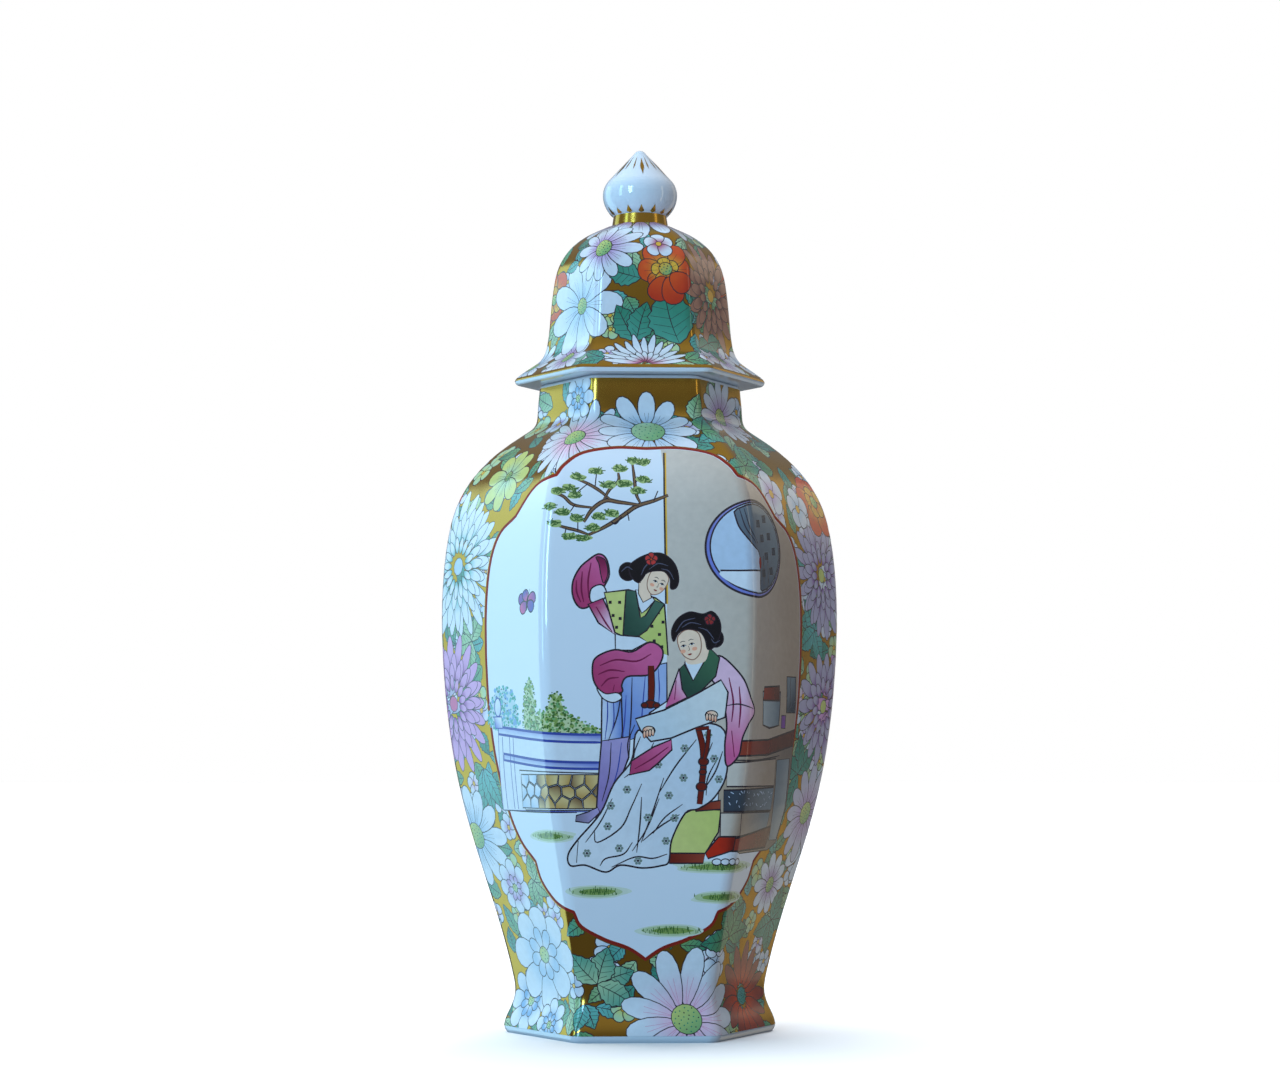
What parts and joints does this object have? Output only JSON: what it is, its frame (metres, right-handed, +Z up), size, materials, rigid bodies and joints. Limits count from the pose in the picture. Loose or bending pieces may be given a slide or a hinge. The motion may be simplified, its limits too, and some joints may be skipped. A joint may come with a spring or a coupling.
{
  "type": "ginger jar",
  "caption": "Hexagonal covered porcelain jar with a bell-shaped lift-off lid, a lotus-bud knob and painted figure panels on a floral gold ground.",
  "frame": {"origin": "centre of the foot, on the surface the jar stands on", "axes": "+Z up along the jar's axis; one flat panel, with the figure scene, faces -Y; two corners lie on the X axis"},
  "size_m": [0.143, 0.1252, 0.32],
  "materials": {
    "painted_glaze": "clear gloss glaze with overglaze enamels and gilding",
    "clear_glaze": "clear gloss glaze over white porcelain",
    "bare_porcelain": "unglazed, matt",
    "gilding": "burnished gilding over the glaze"
  },
  "bodies": {
    "jar": {"foot_ring": "painted_glaze", "body_wall": "painted_glaze", "floor_slab": "clear_glaze", "neck_collar": "painted_glaze"},
    "lid": {"lid_dome": "painted_glaze", "lid_flange": "bare_porcelain", "knob_collar": "gilding", "knob": "clear_glaze"}
  },
  "joints": [
    {"name": "lid_lift", "type": "slide", "parent": "jar", "child": "lid", "axis": [0, 0, 1], "range_m": [0, 0.11]}
  ]
}
